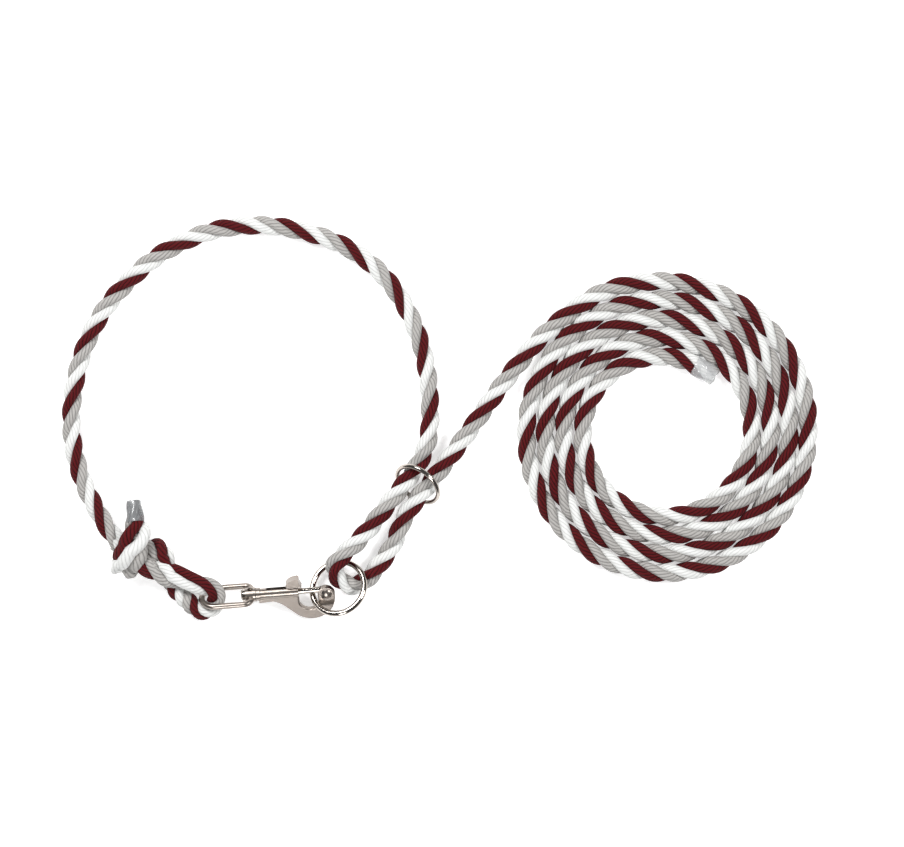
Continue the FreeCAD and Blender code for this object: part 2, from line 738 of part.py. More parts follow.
def spiral_edges(from_turns, turns, offset):
    """Quarter-turn arcs along one side of the coil's rope."""
    quarters = 4
    edges = []
    for quarter in range(quarters):
        first = from_turns + turns * quarter / quarters
        last = from_turns + turns * (quarter + 1) / quarters
        points = [coil_point(t, offset) for t in (first, (first + last) / 2, last)]
        edges.append(Part.Arc(*points).toShape())
    return edges


def make_coil():
    """Flat coil as one solid of its outer shape, with a step where the rope enters and leaves."""
    half = dim("rope_diameter") / 2
    outer = spiral_edges(0.0, 1.0, half)
    outer.append(Part.LineSegment(coil_point(1.0, half), coil_point(0.0, half)).toShape())
    inner = spiral_edges(COIL_TURNS - 1.0, 1.0, -half)
    last = coil_point(COIL_TURNS, -half)
    inner.append(Part.LineSegment(last, coil_point(COIL_TURNS - 1.0, -half)).toShape())
    height = Vector(0, 0, dim("rope_diameter"))
    whole = Part.Face(Part.Wire(outer)).extrude(height)
    hole = Part.Face(Part.Wire(inner)).extrude(height)
    reach = (END_FINISH - END_START).Length * 2
    pocket_radius = SLEEVE_RADIUS + END_POCKET_GAP
    end_pocket = Part.makeCylinder(pocket_radius, reach, END_START, END_DIRECTION)
    coil = doc.addObject("Part::Feature", "rope_coil")
    coil.Label = "rope_coil"
    coil.Shape = whole.cut(hole).cut(end_pocket)
    return coil


KNOT_OUTLINE = [
    (-145.4, 4.7),
    (-134.6, 10.6),
    (-115.0, 10.6),
    (-103.0, 6.4),
    (-97.0, -2.0),
    (-98.2, -14.7),
    (-109.6, -38.2),
    (-121.0, -33.0),
    (-134.0, -25.0),
    (-144.0, -12.0),
    (-147.0, -3.0),
]


def make_stopper_knot():
    """Stopper knot as one solid of its outer shape, with flat faces where the rope meets it."""
    body = new_body("stopper_knot")
    outline = sketch_on(body, "XY_Plane", "knot_outline")
    add_outline(outline, [(str(x), str(y)) for x, y in KNOT_OUTLINE], {})
    block = pad(body, outline, "knot_block", "knot_height")
    top = max(range(len(block.Shape.Faces)), key=lambda n: block.Shape.Faces[n].CenterOfMass.z)
    rounding = body.newObject("PartDesign::Chamfer", "knot_top")
    rounding.Base = (block, [f"Face{top + 1}"])
    rounding.setExpression("Size", bound("knot_chamfer"))
    doc.recompute()
    return body


# ---------------------------------------------------------------- build

eye = make_swivel_eye()
rivet = make_swivel_rivet()
snap = make_snap_body()
bolt = make_snap_bolt()
lug = make_thumb_lug()
spring = make_bolt_spring()
tie_ring = make_tie_ring()
keeper_ring = make_keeper_ring()

knot = make_stopper_knot()
coil = make_coil()

# The tubes end on the knot's flat faces, and halfway along a straight run where two meet.
TAIL_FROM_KNOT = TAIL_AND_KNOT[1]
EYE_LOWER_FACE = along(SNAP_EYE[0], SNAP_EYE[1], 0.3)
EYE_UPPER_FACE = along(SNAP_EYE[-2], SNAP_EYE[-1], 0.7)
LOOP_FACE = along(NECK_LOOP[0], NECK_LOOP[1], 0.5)
KEEPER_TOP = along(NECK_LOOP[-1], RING_BIGHT[0], 0.5)
LEAD_START = along(RING_BIGHT[-1], LEAD[0], 0.5)
COIL_ENTRY = tuple(coil_point(0.0, 0.0, LEAD[-1][2]))

tail_rope, _ = rope_tube("rope_tail", [TAIL_AND_KNOT[0], TAIL_FROM_KNOT])
snap_eye, eye_length = rope_tube("rope_snap_eye", SNAP_EYE, EYE_LOWER_FACE, EYE_UPPER_FACE)
neck_loop, loop_length = rope_tube(
    "rope_neck_loop", NECK_LOOP + RING_BIGHT[:1], LOOP_FACE, KEEPER_TOP
)
bight, bight_length = rope_tube(
    "rope_ring_bight", NECK_LOOP[-1:] + RING_BIGHT + LEAD[:1], KEEPER_TOP, LEAD_START
)
lead, lead_length = rope_tube(
    "rope_lead", RING_BIGHT[-1:] + LEAD + [COIL_ENTRY], LEAD_START, COIL_ENTRY
)

end_rope, end_length = rope_tube("rope_end", [tuple(END_START), tuple(END_FINISH)])
sleeve_start = END_FINISH - END_DIRECTION * dim("end_sleeve_length")
end_sleeve = sleeve("end_sleeve", sleeve_start, END_FINISH)

tail_tip = Vector(*TAIL_AND_KNOT[0])
tail_heading = (Vector(*TAIL_FROM_KNOT) - tail_tip).normalize()
tail_sleeve = sleeve("tail_sleeve", tail_tip, tail_tip + tail_heading * dim("tail_sleeve_length"))

doc.recompute()

PIECES = [
    tail_rope,
    tail_sleeve,
    knot,
    snap_eye,
    neck_loop,
    bight,
    lead,
    coil,
    end_rope,
    end_sleeve,
    eye,
    rivet,
    snap,
    bolt,
    lug,
    spring,
    tie_ring,
    keeper_ring,
]

for item in doc.Objects:
    if "Invalid" in item.State or "Error" in item.State:
        raise RuntimeError(f"{item.Name} did not build: {item.State}")
for piece in PIECES:
    if piece.Shape.isNull() or not piece.Shape.isValid():
        raise RuntimeError(f"{piece.Label} has no valid shape")

turn_steps = 400
coil_length = sum(
    (coil_point(COIL_TURNS * (n + 1) / turn_steps) - coil_point(COIL_TURNS * n / turn_steps)).Length
    for n in range(turn_steps)
)
knot_edges, knot_radii = rope_path([Vector(*point) for point in TAIL_AND_KNOT + SNAP_EYE[:1]])
standing_edges, _ = rope_path([Vector(*point) for point in (EYE_UPPER_FACE, *STANDING_PART, LOOP_FACE)])
print("knot radii", ", ".join(f"{radius:.0f}" for radius in knot_radii))
lengths = [
    Part.Wire(knot_edges).Length,
    eye_length,
    Part.Wire(standing_edges).Length,
    loop_length,
    bight_length,
    lead_length,
    coil_length,
    end_length,
]
print("rope length", round(sum(lengths)), [round(length) for length in lengths])

os.makedirs("parts", exist_ok=True)
for piece in PIECES:
    piece.Shape.exportStep(f"parts/{piece.Label}.step")
    box = piece.Shape.BoundBox
    print(
        f"{piece.Label:16s} solids {len(piece.Shape.Solids)} volume {piece.Shape.Volume:9.1f}"
        f"  X {box.XMin:7.1f} {box.XMax:7.1f}  Y {box.YMin:7.1f} {box.YMax:7.1f}"
        f"  Z {box.ZMin:6.2f} {box.ZMax:6.2f}"
    )
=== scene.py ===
import logging
import math
from dataclasses import dataclass
from enum import Enum
from typing import Sequence

import bpy
import numpy as np
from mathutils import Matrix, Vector


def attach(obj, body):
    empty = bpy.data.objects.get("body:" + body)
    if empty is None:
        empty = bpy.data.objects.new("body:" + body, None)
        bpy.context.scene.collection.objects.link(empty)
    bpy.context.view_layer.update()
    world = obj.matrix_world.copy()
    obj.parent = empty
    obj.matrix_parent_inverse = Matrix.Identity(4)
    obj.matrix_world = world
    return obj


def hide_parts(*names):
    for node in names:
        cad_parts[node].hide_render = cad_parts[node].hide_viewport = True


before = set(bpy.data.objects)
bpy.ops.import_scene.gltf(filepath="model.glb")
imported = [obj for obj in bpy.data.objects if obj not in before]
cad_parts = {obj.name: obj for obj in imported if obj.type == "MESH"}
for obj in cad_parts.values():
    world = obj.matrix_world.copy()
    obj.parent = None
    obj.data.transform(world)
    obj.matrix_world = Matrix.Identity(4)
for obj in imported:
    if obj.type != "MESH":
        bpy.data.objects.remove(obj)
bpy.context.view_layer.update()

log = logging.getLogger("neck_lead")

MM = 0.001
UP = (0.0, 0.0, 1.0)

Point = tuple[float, float, float]
Colour = tuple[float, float, float]

# ---------------------------------------------------------------- the rope's route, millimetres

TAIL = (
    (-122.9, 26.5, 16.0),
    (-121.3, 10.8, 18.5),
)
KNOT_BAND = (
    (-120.5, 2.5, 22.5),
    (-123.5, -6.0, 22.0),
    (-128.5, -13.0, 17.5),
    (-129.0, -15.5, 8.0),
)
KNOT_UNDER = (
    (-124.0, -11.5, 6.4),
    (-118.0, -6.5, 6.4),
)
KNOT_SIDE = (
    (-111.5, -3.5, 8.5),
    (-104.6, -7.5, 13.5),
    (-102.0, -14.5, 13.0),
    (-100.5, -21.5, 8.0),
)
SNAP_EYE = (
    (-98.5, -28.5, 6.4),
    (-92.0, -35.5, 6.4),
    (-84.0, -43.0, 6.4),
    (-76.8, -46.8, 6.8),
    (-69.0, -41.6, 8.2),
    (-68.4, -33.4, 12.0),
    (-76.2, -28.2, 14.4),
)
STANDING_PART = (
    (-86.0, -27.0, 15.0),
    (-97.0, -22.5, 16.0),
    (-109.0, -19.0, 15.0),
    (-120.5, -12.5, 13.8),
)
NECK_LOOP = (
    (-134.5, 0.5, 11.5),
    (-146.0, 17.0, 9.0),
    (-157.5, 39.5, 6.4),
    (-165.0, 66.0, 6.4),
    (-164.5, 100.0, 6.4),
    (-152.5, 140.5, 6.4),
    (-127.5, 173.5, 6.4),
    (-95.5, 197.5, 6.4),
    (-56.0, 210.0, 6.4),
    (-14.5, 207.0, 6.4),
    (25.0, 192.0, 6.4),
    (52.5, 164.0, 6.4),
    (68.5, 126.5, 6.4),
    (72.5, 90.0, 6.6),
    (71.5, 68.0, 9.5),
)
RING_BIGHT = (
    (65.5, 51.4, 13.4),
    (43.4, 23.5, 13.4),
    (28.5, 4.0, 14.8),
    (16.0, -7.5, 17.4),
    (7.6, -15.8, 17.2),
    (11.6, -25.2, 11.0),
    (20.6, -30.6, 6.8),
    (30.5, -25.5, 6.4),
    (40.5, -13.0, 6.4),
    (49.0, -0.5, 8.5),
    (54.5, 16.7, 13.4),
    (75.5, 43.2, 13.4),
)
LEAD = (
    (95.6, 69.6, 10.0),
    (114.0, 96.2, 6.4),
    (131.0, 118.3, 6.4),
    (144.3, 134.6, 6.4),
)


class Strand(Enum):
    """The three strands, by their turn round the rope in the order that they follow each other."""

    DARK_RED = 0
    GREY = 1
    WHITE = 2

    @property
    def turn(self) -> float:
        """Angle from the dark red strand, in radians."""
        return self.value * math.tau / len(Strand)


class SleeveEnd(Enum):
    """Which end of a rope piece wears its shrink sleeve."""

    FIRST = 0
    LAST = 1


# ---------------------------------------------------------------- shader node helpers


class NodeSheet:
    """Adds and joins nodes of one tree, with short calls."""

    def __init__(self, tree: bpy.types.NodeTree) -> None:
        """Keeps the tree.

        Args:
            tree: Tree of a material or of a shader node group.
        """
        self.tree = tree

    def add(self, kind: str, inputs: dict | None = None, **settings: object) -> bpy.types.Node:
        """Adds a node.

        Args:
            kind: Type of the node, without its "ShaderNode" start.
            inputs: Values or output sockets, by the input's name or number.
            **settings: Properties of the node.

        Returns:
            The new node.
        """
        node = self.tree.nodes.new(f"ShaderNode{kind}")
        for name, value in settings.items():
            setattr(node, name, value)
        for name, value in (inputs or {}).items():
            if isinstance(value, bpy.types.NodeSocket):
                self.tree.links.new(value, node.inputs[name])
            else:
                node.inputs[name].default_value = value
        return node

    def maths(self, operation: str, first: object, second: object = 0.0) -> bpy.types.NodeSocket:
        """Adds a Math node and returns its value.

        Args:
            operation: Blender's name of the operation.
            first: First value or socket.
            second: Second value or socket.

        Returns:
            The output socket.
        """
        return self.add("Math", {0: first, 1: second}, operation=operation).outputs[0]

    def noise(self, place: bpy.types.NodeSocket, scale: object, detail: float) -> bpy.types.NodeSocket:
        """Adds a Noise Texture node and returns its value.

        Args:
            place: Socket of the texture's place.
            scale: Scale, a value or socket.
            detail: Number of finer layers.

        Returns:
            The output socket.
        """
        return self.add("TexNoise", {"Vector": place, "Scale": scale, "Detail": detail}).outputs[0]

    def mixed(self, share: object, first: object, second: object) -> bpy.types.NodeSocket:
        """Mixes two colours.

        Args:
            share: Share of the second colour, a value or socket.
            first: First colour or socket.
            second: Second colour or socket.

        Returns:
            The output socket.
        """
        node = self.add("Mix", {0: share, 6: first, 7: second}, data_type="RGBA")
        return node.outputs[2]


class NodeGroup:
    """A shader node group with named inputs and outputs."""

    def __init__(self, name: str, inputs: dict[str, float], outputs: Sequence[str]) -> None:
        """Makes the group's sockets.

        Args:
            name: Name of the group.
            inputs: Default value of each input.
            outputs: Names of the outputs, all plain values.
        """
        self.tree = bpy.data.node_groups.new(name, "ShaderNodeTree")
        for label, value in inputs.items():
            socket = self.tree.interface.new_socket(label, in_out="INPUT", socket_type="NodeSocketFloat")
            socket.default_value = value
        for label in outputs:
            self.tree.interface.new_socket(label, in_out="OUTPUT", socket_type="NodeSocketFloat")
        self.sheet = NodeSheet(self.tree)
        self.inputs = self.tree.nodes.new("NodeGroupInput").outputs
        self.result = self.tree.nodes.new("NodeGroupOutput")

    def put(self, label: str, socket: bpy.types.NodeSocket) -> None:
        """Joins a socket to one of the group's outputs.

        Args:
            label: Name of the output.
            socket: The socket to join.
        """
        self.tree.links.new(socket, self.result.inputs[label])


def yarn_lay_group() -> bpy.types.NodeTree:
    """Makes the fine yarns of a strand, from its UV: U runs along it in strand widths, V round it.

    Returns:
        The group, with the outputs Height, the painted groove shade and Fleck; the groove output is a
        mask of painted shade between the yarns.
    """
    wander_scale, wander_share = 1.7, 0.8
    fibre_scale, fibre_stretch, fibre_crowding = 2.5, 1.5, 4.0
    fuzz, ridge_roundness, groove_narrowness = 0.3, 0.6, 2.0
    group = NodeGroup("yarn_lay", {"Yarns": 7.0, "Slant": 1.75}, ("Height", "PaintedGrooveShade", "Fleck"))
    sheet = group.sheet
    place = sheet.add("TexCoord").outputs["UV"]
    split = sheet.add("SeparateXYZ", {0: place})
    wander = sheet.noise(place, wander_scale, detail=2.0)
    slanted = sheet.maths("MULTIPLY", split.outputs[0], group.inputs["Slant"])
    turned = sheet.maths("MULTIPLY", split.outputs[1], group.inputs["Yarns"])
    wavy = sheet.maths("MULTIPLY", wander, wander_share)
    across = sheet.maths("ADD", sheet.maths("ADD", slanted, turned), wavy)
    ridge = sheet.maths("ABSOLUTE", sheet.maths("SINE", sheet.maths("MULTIPLY", across, math.pi)))
    stretched = sheet.maths("MULTIPLY", split.outputs[0], fibre_stretch)
    crowded = sheet.maths("MULTIPLY", across, fibre_crowding)
    fibre_place = sheet.add("CombineXYZ", {0: stretched, 1: crowded}).outputs[0]
    fibre = sheet.noise(fibre_place, fibre_scale, detail=4.0)
    rough = sheet.maths("MULTIPLY", fibre, fuzz)
    rounded = sheet.maths("POWER", ridge, ridge_roundness)
    group.put("Height", sheet.maths("ADD", rounded, rough))
    # Painted shade: the groove mask is darkest between the yarns, where the grooves fall into shadow.
    group.put("PaintedGrooveShade", sheet.maths("POWER", sheet.maths("SUBTRACT", 1.0, ridge), groove_narrowness))
    group.put("Fleck", fibre)
    return group.tree


def metal_wear_group() -> bpy.types.NodeTree:
    """Makes the small dents and dull patches of plated metal.

    Returns:
        The group, with the outputs Height and Dullness.
    """
    group = NodeGroup("metal_wear", {"Grain": 900.0, "Patch": 90.0}, ("Height", "Dullness"))
    sheet = group.sheet
    place = sheet.add("TexCoord").outputs["Object"]
    group.put("Height", sheet.noise(place, group.inputs["Grain"], detail=3.0))
    group.put("Dullness", sheet.noise(place, group.inputs["Patch"], detail=4.0))
    return group.tree


# ---------------------------------------------------------------- finishes


@dataclass(frozen=True)
class YarnFinish:
    """Soft matte fibre of one strand, with painted shade darkening the grooves between its yarns."""

    name: str
    colour: Colour
    # Colour of the painted shade in the grooves between the yarns.
    groove_shade_colour: Colour
    fleck_colour: Colour
    roughness: float = 0.85
    sheen: float = 0.06
    sheen_roughness: float = 0.5
    shine: float = 0.25
    relief: float = 0.5 * MM
    relief_strength: float = 0.9

    def material(self, yarn_lay: bpy.types.NodeTree) -> bpy.types.Material:
        """Builds the material.

        Args:
            yarn_lay: The node group of the yarns.

        Returns:
            The material.
        """
        made = bpy.data.materials.new(self.name)
        made.use_nodes = True
        sheet = NodeSheet(made.node_tree)
        shader = made.node_tree.nodes["Principled BSDF"]
        yarn = sheet.add("Group", node_tree=yarn_lay)
        flecked = sheet.mixed(yarn.outputs["Fleck"], (*self.colour, 1), (*self.fleck_colour, 1))
        # Painted shade: the groove mask darkens the base colour between the yarns.
        shaded = sheet.mixed(yarn.outputs["PaintedGrooveShade"], flecked, (*self.groove_shade_colour, 1))
        bump = sheet.add(
            "Bump",
            {"Height": yarn.outputs["Height"], "Strength": self.relief_strength, "Distance": self.relief},
        )
        made.node_tree.links.new(shaded, shader.inputs["Base Color"])
        made.node_tree.links.new(bump.outputs[0], shader.inputs["Normal"])
        shader.inputs["Roughness"].default_value = self.roughness
        shader.inputs["Sheen Weight"].default_value = self.sheen
        shader.inputs["Sheen Roughness"].default_value = self.sheen_roughness
        shader.inputs["Specular IOR Level"].default_value = self.shine
        return made


@dataclass(frozen=True)
class MetalFinish:
    """Plated metal, from mirror to satin."""

    name: str
    colour: Colour
    dull_colour: Colour
    roughness: float
    dull_roughness: float
    relief: float = 0.03 * MM
    relief_strength: float = 0.5

    def material(self, metal_wear: bpy.types.NodeTree) -> bpy.types.Material:
        """Builds the material.

        Args:
            metal_wear: The node group of dents and dull patches.

        Returns:
            The material.
        """
        made = bpy.data.materials.new(self.name)
        made.use_nodes = True
        sheet = NodeSheet(made.node_tree)
        shader = made.node_tree.nodes["Principled BSDF"]
        wear = sheet.add("Group", node_tree=metal_wear)
        toned = sheet.mixed(wear.outputs["Dullness"], (*self.colour, 1), (*self.dull_colour, 1))
        gloss = sheet.add(
            "MapRange",
            {"Value": wear.outputs["Dullness"], "To Min": self.roughness, "To Max": self.dull_roughness},
        )
        bump = sheet.add(
            "Bump",
            {"Height": wear.outputs["Height"], "Strength": self.relief_strength, "Distance": self.relief},
        )
        made.node_tree.links.new(toned, shader.inputs["Base Color"])
        made.node_tree.links.new(gloss.outputs[0], shader.inputs["Roughness"])
        made.node_tree.links.new(bump.outputs[0], shader.inputs["Normal"])
        shader.inputs["Metallic"].default_value = 1.0
        return made


@dataclass(frozen=True)
class SleeveFinish:
    """Shrink tube, from clear to cloudy."""

    name: str
    colour: Colour
    cloud_colour: Colour
    clearness: float
    roughness: float = 0.22
    cloud_scale: float = 260.0
    coat: float = 0.4

    def material(self, metal_wear: bpy.types.NodeTree) -> bpy.types.Material:
        """Builds the material.

        Args:
            metal_wear: The node group that gives the cloudy patches.

        Returns:
            The material.
        """
        made = bpy.data.materials.new(self.name)
        made.use_nodes = True
        sheet = NodeSheet(made.node_tree)
        shader = made.node_tree.nodes["Principled BSDF"]
        wear = sheet.add("Group", node_tree=metal_wear)
        wear.inputs["Patch"].default_value = self.cloud_scale
        cloudy = sheet.mixed(wear.outputs["Dullness"], (*self.colour, 1), (*self.cloud_colour, 1))
        made.node_tree.links.new(cloudy, shader.inputs["Base Color"])
        shader.inputs["Roughness"].default_value = self.roughness
        shader.inputs["Alpha"].default_value = 1.0 - self.clearness
        shader.inputs["Coat Weight"].default_value = self.coat
        return made


class Finishes:
    """Every material of the lead, built once."""

    def __init__(self) -> None:
        """Builds the two node groups and the materials."""
        yarn_lay = yarn_lay_group()
        metal_wear = metal_wear_group()
        # The groove colours below are painted shade between the yarns of each strand.
        self.strands: dict[Strand, bpy.types.Material] = {
            Strand.DARK_RED: YarnFinish(
                "dark_red_yarn",
                colour=(0.054, 0.002, 0.003),
                groove_shade_colour=(0.006, 0.0005, 0.0005),
                fleck_colour=(0.135, 0.008, 0.011),
                sheen=0.02,
                shine=0.16,
                relief=0.8 * MM,
            ).material(yarn_lay),
            Strand.GREY: YarnFinish(
                "grey_yarn",
                colour=(0.36, 0.345, 0.33),
                groove_shade_colour=(0.19, 0.18, 0.172),
                fleck_colour=(0.50, 0.485, 0.465),
            ).material(yarn_lay),
            Strand.WHITE: YarnFinish(
                "white_yarn",
                colour=(0.70, 0.705, 0.69),
                groove_shade_colour=(0.54, 0.54, 0.525),
                fleck_colour=(0.82, 0.825, 0.81),
                relief=0.3 * MM,
            ).material(yarn_lay),
        }
        self.cast = MetalFinish(
            "cast_nickel",
            colour=(0.37, 0.325, 0.29),
            dull_colour=(0.27, 0.235, 0.21),
            roughness=0.24,
            dull_roughness=0.38,
            relief=0.08 * MM,
        ).material(metal_wear)
        self.polished = MetalFinish(
            "polished_nickel",
            colour=(0.50, 0.455, 0.41),
            dull_colour=(0.40, 0.36, 0.325),
            roughness=0.06,
            dull_roughness=0.14,
        ).material(metal_wear)
        self.spring = MetalFinish(
            "spring_wire",
            colour=(0.5, 0.5, 0.51),
            dull_colour=(0.38, 0.38, 0.39),
            roughness=0.22,
            dull_roughness=0.35,
        ).material(metal_wear)
        self.cloudy_sleeve = SleeveFinish(
            "cloudy_shrink_tube",
            colour=(0.11, 0.115, 0.12),
            cloud_colour=(0.40, 0.41, 0.42),
            clearness=0.48,
        ).material(metal_wear)
        self.clear_sleeve = SleeveFinish(
            "clear_shrink_tube",
            colour=(0.5, 0.51, 0.52),
            cloud_colour=(0.8, 0.81, 0.82),
            clearness=0.66,
        ).material(metal_wear)


# ---------------------------------------------------------------- rope


def route_line(name: str, route: Sequence[Point], step: float) -> np.ndarray:
    """Reads evenly spaced points from the route's own smooth spline.

    Args:
        name: Name for the spline's curve.
        route: Control points in metres.
        step: Distance between the points, in metres.

    Returns:
        The points, one row each.
    """
    curve = bpy.data.curves.new(name, "CURVE")
    curve.dimensions = "3D"
    curve.resolution_u = 24
    spline = curve.splines.new("NURBS")
    spline.points.add(len(route) - 1)
    for control, place in zip(spline.points, route):
        control.co = (*place, 1.0)
    spline.order_u = 3
    spline.use_endpoint_u = True
    holder = bpy.data.objects.new(name, curve)
    mesh = bpy.data.meshes.new_from_object(holder)
    read = np.array([vertex.co for vertex in mesh.vertices], float)
    bpy.data.meshes.remove(mesh)
    bpy.data.objects.remove(holder)
    bpy.data.curves.remove(curve)
    reached = run_lengths(read)
    count = round(reached[-1] / step)
    stations = np.linspace(0.0, reached[-1], count + 1)
    return np.stack([np.interp(stations, reached, read[:, axis]) for axis in range(3)], axis=1)


def run_lengths(line: np.ndarray) -> np.ndarray:
    """Measures along a line.

    Args:
        line: Points of the line, one row each.

    Returns:
        The length up to each point.
    """
    return np.concatenate([[0.0], np.cumsum(np.linalg.norm(np.diff(line, axis=0), axis=1))])


def unit(vectors: np.ndarray) -> np.ndarray:
    """Makes each row of an array one unit long.

    Args:
        vectors: The array, or one single vector.

    Returns:
        The array with its rows one unit long.
    """
    return vectors / np.linalg.norm(vectors, axis=-1, keepdims=True)


def carried_frames(line: np.ndarray) -> tuple[np.ndarray, np.ndarray, np.ndarray]:
    """Directions along and across a line, carried along it without twist.

    Args:
        line: Points of the line.

    Returns:
        The directions along the line, and two across it; the three make a right-handed set.
    """
    along = unit(np.gradient(line, axis=0))
    across = np.zeros_like(line)
    side = np.cross(along[0], UP)
    for number, direction in enumerate(along):
        side = unit(side - np.dot(side, direction) * direction)
        across[number] = side
    return along, across, np.cross(along, across)


def show_mesh(mesh: bpy.types.Mesh) -> bpy.types.Object:
    """Shows a smooth mesh as a piece that lies with the rope.

    Args:
        mesh: The mesh, which gives the piece its name.

    Returns:
        The piece.
    """
    mesh.polygons.foreach_set("use_smooth", [True] * len(mesh.polygons))
    mesh.update()
    made = bpy.data.objects.new(mesh.name, mesh)
    bpy.context.scene.collection.objects.link(made)
    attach(made, "root")
    return made


@dataclass(frozen=True)
class LayMark:
    """How the strands lie where the rope passes one place.

    Attributes:
        near: The place, in millimetres.
        angle: Degrees of the dark red strand from the top, towards the right of the way the rope runs.
        spread: How far the strands open side by side, from 0 for a round rope.
        size: Size of the bundle, as a share of the full rope.
    """

    near: Point
    angle: float | None = None
    spread: float = 0.0
    size: float = 1.0


@dataclass(frozen=True)
class StrandLay:
    """How the strands lie at every point of a line.

    Attributes:
        turned: Angle of the dark red strand in the carried frame, in radians.
        spread: How far the strands open side by side.
        size: Size of the bundle, as a share of the full rope.
    """

    turned: np.ndarray
    spread: np.ndarray
    size: np.ndarray


